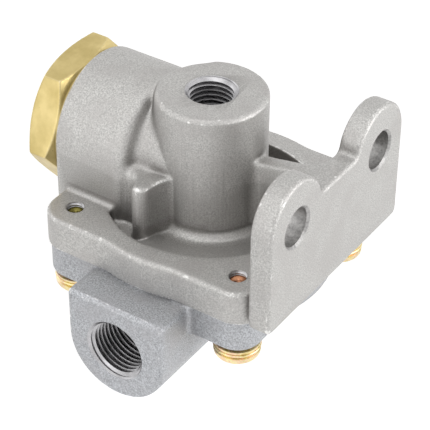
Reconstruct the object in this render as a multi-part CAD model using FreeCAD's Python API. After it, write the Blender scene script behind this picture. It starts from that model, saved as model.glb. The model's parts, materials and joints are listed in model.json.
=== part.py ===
import FreeCAD, Part
import math
import os

# Quick exhaust valve for air lines, with a double check at its supply port.
# Millimetres. The origin is the centre of the exhaust port's mouth on the underside.
# +Z points up through the balance port, +X to the mounting bracket, +Y to the rear delivery port.

V = FreeCAD.Vector
ORIGIN = V(0, 0, 0)
X_AXIS = V(1, 0, 0)
Y_AXIS = V(0, 1, 0)
Z_AXIS = V(0, 0, 1)
FULL_TURN = 360
HEX_SIDES = 6
OVER = 1.0                      # how far a cutting tool runs past a face, or a root runs into its carrier
TOUCH = 0.01                    # edges nearer than this to a place lie in it

# Castings: heights
delivery_radius = 14.8          # rounded underside of the delivery tunnel, which touches the ground
delivery_drop = 14.3            # delivery ports' axis below the joint face
body_flange_t = 9.5
cover_flange_t = 10.5
boss_height = 31.9              # balance boss above the flange top

# Castings: flange outline
screw_pitch = 50.8              # screw square, side to side
lobe_radius = 7.5               # rounded corner about each screw
bow_rise = 1.3                  # shallow arc that bows out past the middle of each straight side
bow_half_l = 9.3
side_blend = 20.0               # hollow rounding where the bow meets the straight side
cover_inset = 0.7               # how far the cover stands inside the body's outline
flange_bevel = 0.6
cover_bevel = 1.6

# Balance boss, and the recess in the flange top round it
boss_radius = 14.8
boss_bevel = 0.8
boss_foot = 1.8                 # sloped foot of the boss on the floor of the recess
recess_radius = 27.9
recess_edge_x = -17.0           # the recess ends here beside the supply housing
recess_depth = 4.0
slope_foot_radius = 18.6        # where the front slope of the recess meets its floor
slope_start_deg = -110.0
slope_sweep_deg = 110.0
ramp_x = -6.65                  # the slope's left end is a ramp that leaves the floor here
ramp_y = -23.9
ramp_bearing_deg = -24.4
ramp_deg = 29.0

# Supply housing: an arch along X
arch_radius = 19.8
arch_rise = 10.7                # its axis above the flange top
arch_outer_x = -36.2
arch_inner_x = -13.9
arch_end_round = 2.6
arch_mouth_chamfer = 0.6
arch_cove = 1.6                 # hollow foot of the arch walls on the flange
neck_half_w = 15.7              # passage housing between the arch and the boss
neck_rise = 16.9                # crown of its oval roof above the arch's axis
neck_draw = 1.3                 # how much nearer its walls stand at the boss

# Rib that stands between the arch and the boss, front and rear: places are for the front one
rib_height = 12.3               # its flat top above the flange top
rib_tip_radius = 2.5
rib_tip_x = -7.0
rib_tip_y = -21.4
rib_left_x = -15.2              # the left flank starts inside the arch
rib_left_hollow = 2.6           # radius of the hollow between that flank and the tip
rib_right_x = -1.6              # where the right flank leaves the boss
rib_right_y = -14.2
rib_edge_bevel = 0.5

# Bracket plate with two ears, and the web that joins it to the boss
plate_outer_x = 38.5
plate_t = 6.3
plate_half_w = 31.8
plate_corner = 2.0
plate_edge_bevel = 0.7
ear_radius = 11.8
ear_rise = 18.4                 # centre of the ear's round above the flange top
saddle_rise = 21.0
saddle_round = 1.5
bracket_pitch = 40.0
bracket_hole_r = 5.2
bracket_hole_rise = 17.05
bracket_chamfer = 0.6
web_t = 4.4
web_rise_boss = 16.8
web_rise_plate = 20.0
web_flare = 5.5                 # rounding where the web spreads into the plate
web_root_round = 2.5            # rounding where the web leaves the boss

# Ports: radius at the outer diameter of the thread, and the length of the threaded wall
balance_r = 6.86
balance_len = 15.0
balance_drill_r = 5.2
delivery_port_r = 8.55
delivery_len = 14.0
supply_r = 8.55
supply_len = 12.0
port_chamfer = 0.8              # supply port and the nut's end
balance_chamfer = 0.1
delivery_chamfer = 0.4
exhaust_r = 7.2

# Delivery tunnel across the cover, one port at each end
tunnel_half_l = 43.7
tunnel_top_gap = 0.6            # its flat top lies this far under the joint face
tunnel_top_round = 1.5
tunnel_end_bevel = 0.8
passage_r = 6.0
passage_start_y = 11.2

# Cover bowl, exhaust boss and stand pipe
bowl_radius = 23.0
bowl_depth = 22.9               # below the joint face
bowl_chamfer = 1.6
bowl_floor_t = 3.2
exhaust_boss_r = 10.0
pipe_outer_r = 9.6
seat_drop = 3.0                 # exhaust seat below the joint face
seat_land = 0.9                 # flat width of the seat
chamber_radius = 21.8           # diaphragm chamber, in the cover and in the body

# Chamber in the body over the diaphragm
roof_gap = 0.2                  # left over the diaphragm at full lift
spring_pocket_r = 8.2
spring_pocket_rise = 9.5        # above the chamber roof
transfer_r = 2.2
transfer_x = -19.4

# Release diaphragm, spring seat and spring
diaphragm_r = 19.2
diaphragm_t = 3.0
diaphragm_lift = 2.0
diaphragm_rim_t = 1.7
diaphragm_core_r = 11.5
diaphragm_slope = 2.0
spring_seat_r = 7.6
spring_seat_t = 1.0
spring_seat_hub_r = 4.9
spring_seat_hub_h = 3.0
spring_wire_r = 0.5
spring_wire_sides = 6           # the wire's round section, drawn as a hexagon
spring_mean_r = 5.9
spring_turns = 4

# Cap nut
nut_across_flats = 36.9
nut_chamfer_deg = 30.0
nut_face_inset = 0.3            # how far the chamfer's circle stands inside the flats
nut_turn_deg = -21.8            # one corner from the vertical, about +X
nut_hex_t = 8.7
nut_collar_t = 0.7
nut_collar_r = 18.1
nut_thread_r = 15.6
nut_thread_len = 9.0
nut_nose_r = 7.2
nut_drill_r = 5.0
thread_clearance = 0.05
thread_runout = 1.2

# Sealing rings and their grooves
seal_width = 2.2
seal_groove_depth = 1.7
seal_clearance = 0.04
cover_seal_r = 25.8             # mean radius of the ring between body and cover
nut_seal_inset = 0.9            # groove from the nut's collar

# Double check: chamber, guide, disc and the seat towards the balance port
check_end_x = -17.0             # inner end of the check chamber
check_chamber_r = 14.0
check_travel = 2.5
check_disc_r = 11.8
check_disc_t = 3.0
guide_clearance = 0.05
guide_bore_clearance = 0.3
guide_windows = 6
guide_window_w = 7.5
guide_rim_t = 1.4
balance_seat_r = 7.0
balance_seat_len = 1.5
balance_passage_r = 4.5
drill_floor = 0.5               # balance drilling below the passage

# Cover screws and their washers
screw_r = 2.5
tapped_clearance = 0.05
cover_hole_r = 2.8
screw_tip_drop = 1.3            # screw tip below the flange top
screw_tip_chamfer = 0.35
hole_mouth_chamfer = 0.5
washer_hole_r = 2.7
washer_r = 6.1
washer_t = 0.9
washer_bevel = 0.3
head_r = 6.3
head_h = 3.9
head_rim_h = 0.9                # upright band next to the washer
dome_r = 5.8
dome_side_h = 1.2
dome_crown_r = 3.6              # flat end of the dome
drive_wing_w = 1.3
drive_wing_l = 6.4
drive_h = 2.2

# Derived places
parting_z = delivery_radius + delivery_drop     # joint face between cover and body
flange_top = parting_z + body_flange_t
recess_floor = flange_top - recess_depth
cover_low = parting_z - cover_flange_t
delivery_z = delivery_radius
boss_top = flange_top + boss_height
arch_z = flange_top + arch_rise
screw_xy = screw_pitch / 2
bowl_low = parting_z - bowl_depth
chamber_floor = bowl_low + bowl_floor_t
seat_z = parting_z - seat_drop
roof_z = seat_z + diaphragm_t + diaphragm_lift + roof_gap
pocket_top = roof_z + spring_pocket_rise
plate_inner_x = plate_outer_x - plate_t
nut_inner_x = arch_outer_x - nut_collar_t
nut_outer_x = nut_inner_x - nut_hex_t
nut_end_x = arch_outer_x + nut_thread_len
balance_seat_x = check_end_x - balance_seat_len
check_disc_x = balance_seat_x - check_disc_t
supply_seat_x = check_disc_x - check_travel


def box(x0, x1, y0, y1, z0, z1):
    return Part.makeBox(x1 - x0, y1 - y0, z1 - z0, V(x0, y0, z0))


def rod_x(r, x0, x1, y, z):
    return Part.makeCylinder(r, x1 - x0, V(x0, y, z), X_AXIS)


def rod_y(r, y0, y1, x, z):
    return Part.makeCylinder(r, y1 - y0, V(x, y0, z), Y_AXIS)


def rod_z(r, z0, z1, x=0, y=0):
    return Part.makeCylinder(r, z1 - z0, V(x, y, z0), Z_AXIS)


def cone_z(r0, r1, z0, z1, x=0, y=0):
    return Part.makeCone(r0, r1, z1 - z0, V(x, y, z0), Z_AXIS)


def line(a, b):
    return Part.LineSegment(a, b).toShape()


def arc(a, middle, b):
    return Part.Arc(a, middle, b).toShape()


def loop(points):
    return [line(a, b) for a, b in zip(points, points[1:] + points[:1])]


def prism(edges, along):
    return Part.Face(Part.Wire(edges)).extrude(along)


def turned_z(edges, x=0, y=0):
    """Solid turned about a vertical axis from edges drawn at r = X."""
    solid = Part.Face(Part.Wire(edges)).revolve(ORIGIN, Z_AXIS, FULL_TURN)
    return solid.translated(V(x, y, 0))


def turned_x(points):
    """Solid turned about the arch's axis from (x, r) corners."""
    corners = [V(x, 0, arch_z + r) for x, r in points]
    return Part.Face(Part.Wire(loop(corners))).revolve(V(0, 0, arch_z), X_AXIS, FULL_TURN)


def rounded(shape, radius, wanted):
    return shape.makeFillet(radius, [e for e in shape.Edges if wanted(e.BoundBox)])


def bevelled(shape, size, wanted):
    return shape.makeChamfer(size, [e for e in shape.Edges if wanted(e.BoundBox)])


def level(z):
    """Test for edges that lie in one horizontal plane."""
    return lambda b: abs(b.ZMin - z) < TOUCH and abs(b.ZMax - z) < TOUCH


def at_x(x):
    return lambda b: abs(b.XMin - x) < TOUCH and abs(b.XMax - x) < TOUCH


def at_y(y):
    return lambda b: abs(b.YMin - y) < TOUCH and abs(b.YMax - y) < TOUCH


def both_sides(shape):
    """The shape and its mirror image in the XZ plane."""
    return [shape, shape.mirror(ORIGIN, Y_AXIS)]


def screw_places():
    return [(sx * screw_xy, sy * screw_xy) for sx, sy in ((-1, -1), (1, -1), (1, 1), (-1, 1))]


def flange_outline(inset, z):
    """Square with round corners about the screws; a shallow arc bows out past the middle of each side."""
    lobe = lobe_radius - inset
    half = screw_xy + lobe
    middle = half + bow_rise
    meet = bow_half_l
    diagonal = screw_xy + lobe * math.sqrt(0.5)
    edges = []
    for quarter in range(4):
        side = [arc(V(-meet, half, z), V(0, middle, z), V(meet, half, z)),
                line(V(meet, half, z), V(screw_xy, half, z)),
                arc(V(screw_xy, half, z), V(diagonal, diagonal, z), V(half, screw_xy, z)),
                line(V(half, screw_xy, z), V(half, meet, z))]
        for edge in side:
            edge.rotate(ORIGIN, Z_AXIS, -90 * quarter)
            edges.append(edge)
    return edges


def flange_slab(inset, low, high):
    slab = prism(flange_outline(inset, low), V(0, 0, high - low))
    meets = lambda b: b.ZLength > TOUCH and min(abs(b.XMin), abs(b.YMin)) < screw_xy / 2
    return rounded(slab, side_blend, meets)


def arch_section(radius, x, low):
    """Front view of the arch: straight walls from low, and a half round on top."""
    a = V(x, -radius, low)
    b = V(x, -radius, arch_z)
    c = V(x, radius, arch_z)
    d = V(x, radius, low)
    return [line(a, b), arc(b, V(x, 0, arch_z + radius), c), line(c, d), line(d, a)]


def body_flange():
    slab = bevelled(flange_slab(0, parting_z, flange_top), flange_bevel, level(flange_top))
    recess = rod_z(recess_radius, recess_floor, flange_top + OVER)
    reach = recess_radius + OVER
    beside = box(recess_edge_x, reach, -reach, reach, recess_floor, flange_top + OVER)
    return slab.cut(recess.common(beside))


def recess_slope():
    """Front right quarter of the recess: its floor climbs to the flange top, from a ramp at its left end."""
    low = recess_floor - OVER
    points = [V(slope_foot_radius, 0, low), V(recess_radius + OVER, 0, low),
              V(recess_radius + OVER, 0, flange_top - OVER), V(recess_radius, 0, flange_top),
              V(slope_foot_radius, 0, recess_floor)]
    face = Part.Face(Part.Wire(loop(points)))
    face.rotate(ORIGIN, Z_AXIS, slope_start_deg)
    climb = face.revolve(ORIGIN, Z_AXIS, slope_sweep_deg)
    reach = 2 * recess_radius
    below = box(-recess_depth, reach, -reach, reach, -reach, 0)
    below.rotate(ORIGIN, Y_AXIS, -ramp_deg)
    below.rotate(ORIGIN, Z_AXIS, ramp_bearing_deg)
    return climb.common(below.translated(V(ramp_x, ramp_y, recess_floor)))


def arch():
    length = arch_inner_x - arch_outer_x
    housing = prism(arch_section(arch_radius, arch_outer_x, parting_z), V(length, 0, 0))
    above = lambda end: lambda b: end(b) and b.ZMax > arch_z - TOUCH
    housing = rounded(housing, arch_end_round, above(at_x(arch_inner_x)))
    return bevelled(housing, arch_mouth_chamfer, above(at_x(arch_outer_x)))


def arch_cove_strip():
    """Hollow fillet along the foot of the front arch wall, up to the edge of the recess."""
    start = flange_bevel - screw_xy - lobe_radius
    end = recess_edge_x
    wall = -arch_radius
    drop = arch_cove * (1 - math.sqrt(0.5))
    a = V(start, wall - arch_cove, flange_top)
    b = V(start, wall, flange_top + arch_cove)
    hollow = V(start, wall - drop, flange_top + drop)
    inside = V(start, wall + OVER, flange_top + arch_cove)
    under = V(start, wall + OVER, flange_top - OVER)
    outer = V(start, wall - arch_cove, flange_top - OVER)
    edges = [arc(a, hollow, b), line(b, inside), line(inside, under), line(under, outer), line(outer, a)]
    return prism(edges, V(end - start, 0, 0))


def boss():
    foot = boss_radius + boss_foot
    low = recess_floor - OVER
    corners = [V(0, 0, low), V(foot, 0, low), V(foot, 0, recess_floor),
               V(boss_radius, 0, recess_floor + boss_foot), V(boss_radius, 0, boss_top - boss_bevel),
               V(boss_radius - boss_bevel, 0, boss_top), V(0, 0, boss_top)]
    return turned_z(loop(corners))


def neck():
    """Front half of the housing from the arch to the boss: a plain wall under an oval roof."""
    start = arch_inner_x - OVER
    low = recess_floor - OVER
    oval = Part.Ellipse(V(start, 0, arch_z + neck_rise), V(start, -neck_half_w, arch_z), V(start, 0, arch_z))
    roof = Part.ArcOfEllipse(oval, 0, math.pi / 2).toShape()
    crown = V(start, 0, arch_z + neck_rise)
    side = V(start, -neck_half_w, arch_z)
    foot = V(start, -neck_half_w, low)
    middle = V(start, 0, low)
    edges = [roof, line(side, foot), line(foot, middle), line(middle, crown)]
    return prism(edges, V(-start, neck_draw, 0))


def rib():
    """Front rib between arch and boss: hollow flanks that run into its rounded tip, and a flat top."""
    tip_left = V(rib_tip_x - rib_tip_radius, rib_tip_y, 0)
    tip_front = V(rib_tip_x, rib_tip_y - rib_tip_radius, 0)
    tip_right = V(rib_tip_x + rib_tip_radius, rib_tip_y, 0)
    left_hub = tip_left - V(rib_left_hollow, 0, 0)
    left_mid = left_hub + V(1, 1, 0) * (rib_left_hollow * math.sqrt(0.5))
    wall = left_hub + V(0, rib_left_hollow, 0)
    left = V(rib_left_x, wall.y, 0)
    right = V(rib_right_x, rib_right_y, 0)
    way = right - tip_right
    right_hollow = way.Length ** 2 / (2 * way.x)
    right_hub = tip_right + V(right_hollow, 0, 0)
    toward = (tip_right + right) * 0.5 - right_hub
    right_mid = right_hub + toward * (right_hollow / toward.Length)
    root = V(rib_left_x, -OVER, 0)
    edges = [line(left, wall), arc(wall, left_mid, tip_left), arc(tip_left, tip_front, tip_right),
             arc(tip_right, right_mid, right), line(right, root), line(root, left)]
    height = recess_depth + OVER + rib_height
    solid = prism(edges, V(0, 0, height)).translated(V(0, 0, recess_floor - OVER))
    top = level(flange_top + rib_height)
    return bevelled(solid, rib_edge_bevel, lambda b: top(b) and b.YMax < rib_right_y + TOUCH)


def web_outline():
    """Plan of the web: it spreads into the boss and into the plate."""
    half = web_t / 2
    root_x = math.sqrt((boss_radius + web_root_round) ** 2 - (half + web_root_round) ** 2)
    root = V(root_x, half + web_root_round, 0)
    on_boss = root * (boss_radius / root.Length)
    on_web = V(root_x, half, 0)
    toward = (on_boss + on_web) * 0.5 - root
    root_mid = root + toward * (web_root_round / toward.Length)
    flare_x = plate_inner_x - web_flare
    flare = V(flare_x, half + web_flare, 0)
    flare_mid = flare + V(1, -1, 0) * (web_flare * math.sqrt(0.5))
    side = [on_boss, root_mid, on_web, V(flare_x, half, 0), flare_mid, V(plate_inner_x, half + web_flare, 0)]
    mirrored = [V(p.x, -p.y, 0) for p in side]
    edges = []
    for s in (side, mirrored):
        edges += [arc(s[0], s[1], s[2]), line(s[2], s[3]), arc(s[3], s[4], s[5])]
    deep = plate_inner_x + OVER
    ends = [side[5], V(deep, side[5].y, 0), V(deep, -side[5].y, 0), mirrored[5]]
    edges += [line(ends[i], ends[i + 1]) for i in range(3)]
    inside = [side[0], V(boss_radius / 2, side[0].y, 0), V(boss_radius / 2, -side[0].y, 0), mirrored[0]]
    edges += [line(inside[i], inside[i + 1]) for i in range(3)]
    return Part.__sortEdges__(edges)


def web():
    low = recess_floor - OVER
    column = prism(web_outline(), V(0, 0, boss_top))
    near = boss_radius / 2 - OVER
    far = plate_inner_x + 2 * OVER
    slope = (web_rise_plate - web_rise_boss) / (plate_inner_x - boss_radius)
    rise = lambda x: flange_top + web_rise_boss + slope * (x - boss_radius)
    side = [V(near, 0, low), V(far, 0, low), V(far, 0, rise(far)), V(near, 0, rise(near))]
    half = web_t / 2 + web_flare + OVER
    slab = prism(loop(side), V(0, 2 * half, 0)).translated(V(0, -half, 0))
    return column.common(slab)


def plate_outline():
    """Plate seen along X: square foot, two ears and the saddle between them."""
    x = plate_inner_x
    ear_z = flange_top + ear_rise
    saddle_z = flange_top + saddle_rise
    ear_y = plate_half_w - ear_radius
    corner_mid = plate_corner * (1 - math.sqrt(0.5))
    fillet_z = saddle_z + saddle_round
    reach = ear_radius + saddle_round
    fillet_y = ear_y - math.sqrt(reach ** 2 - (fillet_z - ear_z) ** 2)
    share = ear_radius / reach
    on_ear = V(x, ear_y + (fillet_y - ear_y) * share, ear_z + (fillet_z - ear_z) * share)
    on_saddle = V(x, fillet_y, saddle_z)
    hub = V(x, fillet_y, fillet_z)
    toward = (on_ear + on_saddle) * 0.5 - hub
    fillet_mid = hub + toward * (saddle_round / toward.Length)
    right = [V(x, plate_half_w - plate_corner, parting_z),
             V(x, plate_half_w - corner_mid, parting_z + corner_mid),
             V(x, plate_half_w, parting_z + plate_corner),
             V(x, plate_half_w, ear_z),
             V(x, ear_y, ear_z + ear_radius),
             on_ear, fillet_mid, on_saddle]
    left = [V(p.x, -p.y, p.z) for p in right]
    edges = []
    for s in (right, left):
        edges += [arc(s[0], s[1], s[2]), line(s[2], s[3]), arc(s[3], s[4], s[5]), arc(s[5], s[6], s[7])]
    edges += [line(right[7], left[7]), line(left[0], right[0])]
    return Part.__sortEdges__(edges)


def bracket_plate():
    plate = prism(plate_outline(), V(plate_t, 0, 0))
    plate = bevelled(plate, plate_edge_bevel, at_x(plate_outer_x))
    return bevelled(plate, plate_edge_bevel, at_x(plate_inner_x))


def bracket_holes():
    z = flange_top + bracket_hole_rise
    wide = bracket_hole_r + bracket_chamfer
    tools = []
    for side in (-1, 1):
        y = side * bracket_pitch / 2
        tools.append(rod_x(bracket_hole_r, plate_inner_x - OVER, plate_outer_x + OVER, y, z))
        for x, r0, r1 in ((plate_outer_x - bracket_chamfer, bracket_hole_r, wide),
                          (plate_inner_x, wide, bracket_hole_r)):
            tools.append(Part.makeCone(r0, r1, bracket_chamfer, V(x, y, z), X_AXIS))
    return tools


def body_cuts():
    """Ports, passages, chambers and screw holes of the body."""
    thread_low = boss_top - balance_chamfer - balance_len
    drill_low = arch_z - balance_passage_r - drill_floor
    bore_end = nut_end_x + thread_runout
    tools = [rod_z(chamber_radius, parting_z - OVER, roof_z),
             rod_z(spring_pocket_r, roof_z - OVER, pocket_top),
             rod_z(balance_r, thread_low, boss_top + OVER),
             rod_z(balance_drill_r, drill_low, thread_low + OVER),
             cone_z(balance_r, balance_r + balance_chamfer, boss_top - balance_chamfer, boss_top),
             rod_x(balance_passage_r, check_end_x - OVER, 0, 0, arch_z),
             rod_x(nut_thread_r + thread_clearance, arch_outer_x - OVER, bore_end, 0, arch_z),
             rod_x(check_chamber_r, bore_end - OVER, check_end_x, 0, arch_z),
             rod_z(transfer_r, roof_z - OVER, arch_z - check_chamber_r + OVER, transfer_x)]
    for x, y in screw_places():
        r = screw_r + tapped_clearance
        tools.append(rod_z(r, parting_z - OVER, flange_top + OVER, x, y))
        tools.append(cone_z(r, r + hole_mouth_chamfer, flange_top - hole_mouth_chamfer, flange_top, x, y))
    return tools + bracket_holes()


def balance_seat():
    """Ring about the passage to the balance port, which the disc closes."""
    start = balance_seat_x
    end = check_end_x + OVER
    ring = rod_x(balance_seat_r, start, end, 0, arch_z)
    return ring.cut(rod_x(balance_passage_r, start - OVER, end + OVER, 0, arch_z))


def body():
    solid = body_flange()
    adds = [recess_slope(), arch(), boss(), web(), bracket_plate()]
    for piece in (arch_cove_strip(), neck(), rib()):
        adds += both_sides(piece)
    solid = solid.fuse(adds)
    solid = solid.cut(body_cuts())
    solid = solid.fuse(balance_seat())
    return solid.removeSplitter()


def tunnel():
    """Delivery tunnel along Y: flat top with rounded corners, straight sides, half round underside."""
    r = delivery_radius
    top = parting_z - tunnel_top_gap
    c = tunnel_top_round
    mid = c * (1 - math.sqrt(0.5))
    y = -tunnel_half_l
    right = [V(0, y, delivery_z - r), V(r * math.sqrt(0.5), y, delivery_z - r * math.sqrt(0.5)),
             V(r, y, delivery_z), V(r, y, top - c), V(r - mid, y, top - mid), V(r - c, y, top)]
    left = [V(-p.x, p.y, p.z) for p in right]
    edges = []
    for s in (right, left):
        edges += [arc(s[0], s[1], s[2]), line(s[2], s[3]), arc(s[3], s[4], s[5])]
    edges.append(line(right[5], left[5]))
    solid = prism(Part.__sortEdges__(edges), V(0, 2 * tunnel_half_l, 0))
    for end in (-tunnel_half_l, tunnel_half_l):
        solid = bevelled(solid, tunnel_end_bevel, at_y(end))
    return solid


def cover_cuts():
    """Chamber round the stand pipe, delivery ports and passages, exhaust bore and screw holes."""
    chamber = rod_z(chamber_radius, chamber_floor, parting_z + OVER)
    lip = exhaust_r + seat_land
    collar = cone_z(pipe_outer_r, lip, seat_z - (pipe_outer_r - lip), seat_z)
    pipe = rod_z(pipe_outer_r, bowl_low, seat_z - (pipe_outer_r - lip)).fuse(collar)
    tools = [chamber.cut(pipe), rod_z(exhaust_r, -OVER, seat_z + OVER)]
    thread_in = tunnel_half_l - delivery_chamfer - delivery_len
    mouth = Part.makeCone(delivery_port_r, delivery_port_r + delivery_chamfer, delivery_chamfer,
                          V(0, tunnel_half_l - delivery_chamfer, delivery_z), Y_AXIS)
    thread = rod_y(delivery_port_r, thread_in, tunnel_half_l + OVER, 0, delivery_z)
    passage = rod_y(passage_r, passage_start_y, thread_in + OVER, 0, delivery_z)
    for tool in (mouth, thread, passage):
        tools += both_sides(tool)
    for x, y in screw_places():
        tools.append(rod_z(cover_hole_r, cover_low - OVER, parting_z + OVER, x, y))
    return tools


def seal_groove(mean_r, low, high):
    return rod_z(mean_r + seal_width / 2, low, high).cut(rod_z(mean_r - seal_width / 2, low, high))


def cover():
    slab = bevelled(flange_slab(cover_inset, cover_low, parting_z), cover_bevel, level(cover_low))
    bowl = bevelled(rod_z(bowl_radius, bowl_low, parting_z - OVER), bowl_chamfer, level(bowl_low))
    solid = slab.fuse([bowl, tunnel(), rod_z(exhaust_boss_r, 0, bowl_low + OVER)])
    groove = seal_groove(cover_seal_r, parting_z - seal_groove_depth, parting_z + OVER)
    return solid.cut(cover_cuts() + [groove]).removeSplitter()


def cover_seal():
    """Ring pressed flat between the floor of its groove and the body."""
    inner = cover_seal_r - seal_width / 2 + seal_clearance
    outer = cover_seal_r + seal_width / 2 - seal_clearance
    low = parting_z - seal_groove_depth
    return rod_z(outer, low, parting_z).cut(rod_z(inner, low - OVER, parting_z + OVER))


def nut_profile():
    """Turned outline of the hexagon: a cone at each face cuts the corners."""
    flat_r = nut_across_flats / 2
    corner_r = flat_r / math.cos(math.pi / HEX_SIDES) + nut_face_inset
    face_r = flat_r - nut_face_inset
    depth = (corner_r - face_r) * math.tan(math.radians(nut_chamfer_deg))
    return [(nut_outer_x, 0), (nut_outer_x, face_r), (nut_outer_x + depth, corner_r),
            (nut_inner_x - depth, corner_r), (nut_inner_x, face_r), (nut_inner_x, 0)]


def cap_nut():
    corner_r = nut_across_flats / 2 / math.cos(math.pi / HEX_SIDES)
    corners = []
    for k in range(HEX_SIDES):
        turn = math.radians(nut_turn_deg + k * FULL_TURN / HEX_SIDES)
        corners.append(V(nut_outer_x, -corner_r * math.sin(turn), arch_z + corner_r * math.cos(turn)))
    hexagon = prism(loop(corners), V(nut_hex_t, 0, 0)).common(turned_x(nut_profile()))
    groove_x = arch_outer_x + nut_seal_inset
    groove_r = nut_thread_r - seal_groove_depth
    spigot = [(nut_inner_x - OVER, 0), (nut_inner_x - OVER, nut_collar_r), (arch_outer_x, nut_collar_r),
              (arch_outer_x, nut_thread_r), (groove_x, nut_thread_r), (groove_x, groove_r),
              (groove_x + seal_width, groove_r), (groove_x + seal_width, nut_thread_r),
              (nut_end_x - port_chamfer, nut_thread_r), (nut_end_x, nut_thread_r - port_chamfer),
              (nut_end_x, nut_nose_r), (supply_seat_x, nut_nose_r), (supply_seat_x, 0)]
    bore = [(nut_outer_x - OVER, 0), (nut_outer_x - OVER, supply_r + port_chamfer + OVER),
            (nut_outer_x + port_chamfer, supply_r), (nut_outer_x + port_chamfer + supply_len, supply_r),
            (nut_outer_x + port_chamfer + supply_len, nut_drill_r),
            (supply_seat_x + OVER, nut_drill_r), (supply_seat_x + OVER, 0)]
    return hexagon.fuse(turned_x(spigot)).cut(turned_x(bore)).removeSplitter()


def cap_nut_seal():
    start = arch_outer_x + nut_seal_inset + seal_clearance
    end = start + seal_width - 2 * seal_clearance
    inner = nut_thread_r - seal_groove_depth + seal_clearance
    ring = rod_x(nut_thread_r, start, end, 0, arch_z)
    return ring.cut(rod_x(inner, start - OVER, end + OVER, 0, arch_z))


def check_guide():
    """Cage round the disc: two rims and the bars between its windows."""
    outer = check_chamber_r - guide_clearance
    inner = check_disc_r + guide_bore_clearance
    ring = rod_x(outer, nut_end_x, check_end_x, 0, arch_z)
    ring = ring.cut(rod_x(inner, nut_end_x - OVER, check_end_x + OVER, 0, arch_z))
    windows = []
    half = guide_window_w / 2
    for k in range(guide_windows):
        window = box(nut_end_x + guide_rim_t, check_end_x - guide_rim_t, -half, half,
                     arch_z - outer - OVER, arch_z - inner / 2)
        window.rotate(V(0, 0, arch_z), X_AXIS, k * FULL_TURN / guide_windows)
        windows.append(window)
    return ring.cut(windows)


def check_disc():
    return rod_x(check_disc_r, check_disc_x, balance_seat_x, 0, arch_z)


def release_diaphragm():
    """Rubber disc: thick core over the exhaust seat, and a thinner rim that lets air pass round it."""
    core = diaphragm_core_r
    rim_top = seat_z + diaphragm_rim_t
    points = [V(0, 0, seat_z), V(diaphragm_r, 0, seat_z), V(diaphragm_r, 0, rim_top),
              V(core + diaphragm_slope, 0, rim_top), V(core, 0, seat_z + diaphragm_t),
              V(0, 0, seat_z + diaphragm_t)]
    return turned_z(loop(points))


def spring_seat():
    low = seat_z + diaphragm_t
    plate = rod_z(spring_seat_r, low, low + spring_seat_t)
    return plate.fuse(rod_z(spring_seat_hub_r, low, low + spring_seat_t + spring_seat_hub_h)).removeSplitter()


def return_spring():
    low = seat_z + diaphragm_t + spring_seat_t + spring_wire_r
    height = pocket_top - spring_wire_r - low
    helix = Part.makeHelix(height / spring_turns, height, spring_mean_r)
    climb = V(0, 2 * math.pi * spring_mean_r, height / spring_turns).normalize()
    across = climb.cross(X_AXIS)
    points = []
    for k in range(spring_wire_sides):
        turn = 2 * math.pi * k / spring_wire_sides
        points.append(V(spring_mean_r, 0, 0) + X_AXIS * (spring_wire_r * math.cos(turn))
                      + across * (spring_wire_r * math.sin(turn)))
    coil = Part.Wire(helix.Edges).makePipeShell([Part.Wire(loop(points))], True, True)
    return coil.translated(V(0, 0, low))


def cover_screw(x, y):
    """Domed head on a rim, with a cross drive from below, and a plain shank up into the body."""
    head_top = cover_low - washer_t
    low = head_top - head_h
    rim_low = head_top - head_rim_h
    tip = flange_top - screw_tip_drop
    corners = [V(0, 0, low), V(dome_crown_r, 0, low), V(dome_r, 0, rim_low - dome_side_h),
               V(dome_r, 0, rim_low), V(head_r, 0, rim_low), V(head_r, 0, head_top), V(screw_r, 0, head_top),
               V(screw_r, 0, tip - screw_tip_chamfer), V(screw_r - screw_tip_chamfer, 0, tip), V(0, 0, tip)]
    wing = drive_wing_l / 2
    half = drive_wing_w / 2
    cross = [box(-wing, wing, -half, half, low - OVER, low + drive_h),
             box(-half, half, -wing, wing, low - OVER, low + drive_h)]
    return turned_z(loop(corners)).cut(cross).translated(V(x, y, 0))


def lock_washer(x, y):
    low = cover_low - washer_t
    inset = washer_r - washer_bevel
    corners = [V(washer_hole_r, 0, low), V(inset, 0, low), V(washer_r, 0, low + washer_bevel),
               V(washer_r, 0, cover_low), V(washer_hole_r, 0, cover_low)]
    return turned_z(loop(corners)).translated(V(x, y, 0))


def pieces():
    parts = {
        "body": body(),
        "cover": cover(),
        "cap_nut": cap_nut(),
        "cap_nut_seal": cap_nut_seal(),
        "check_guide": check_guide(),
        "check_disc": check_disc(),
        "release_diaphragm": release_diaphragm(),
        "spring_seat": spring_seat(),
        "return_spring": return_spring(),
        "cover_seal": cover_seal(),
    }
    for number, (x, y) in enumerate(screw_places(), 1):
        parts["cover_screw_%d" % number] = cover_screw(x, y)
        parts["lock_washer_%d" % number] = lock_washer(x, y)
    return parts


os.makedirs("parts", exist_ok=True)
for name, shape in pieces().items():
    shape.exportStep("parts/%s.step" % name)
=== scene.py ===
import bmesh
import bpy
import json
import math
import numpy as np
from mathutils import Matrix, Vector, bvhtree, kdtree

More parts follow.
